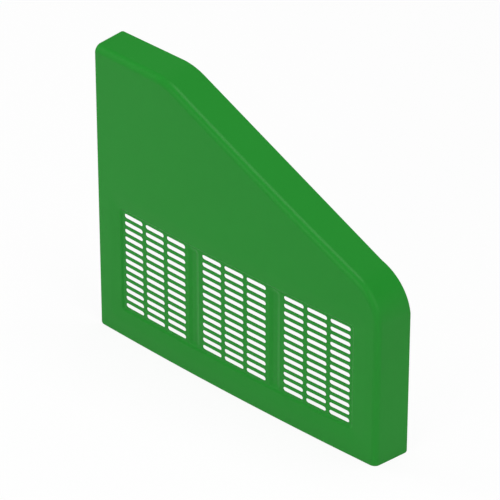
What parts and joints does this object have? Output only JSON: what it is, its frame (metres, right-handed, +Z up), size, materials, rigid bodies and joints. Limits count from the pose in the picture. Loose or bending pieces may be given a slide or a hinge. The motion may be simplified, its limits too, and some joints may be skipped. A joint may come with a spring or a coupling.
{
  "type": "tractor hood side panel",
  "caption": "Pressed steel side panel of a garden tractor's engine hood, with a bowed face, a flange on three sides and a recessed field of air slots.",
  "frame": {"origin": "under the middle of the panel's box, in the plane of its lower edge", "axes": "+X along the face from the open front edge to the flared rear flange, +Y from the face back to the flange's rim, +Z up"},
  "size_m": [0.6126, 0.0718, 0.5487],
  "materials": {
    "green_paint": "semi-gloss enamel"
  },
  "bodies": {
    "root": {"hood_side_panel": "green_paint"}
  },
  "joints": []
}
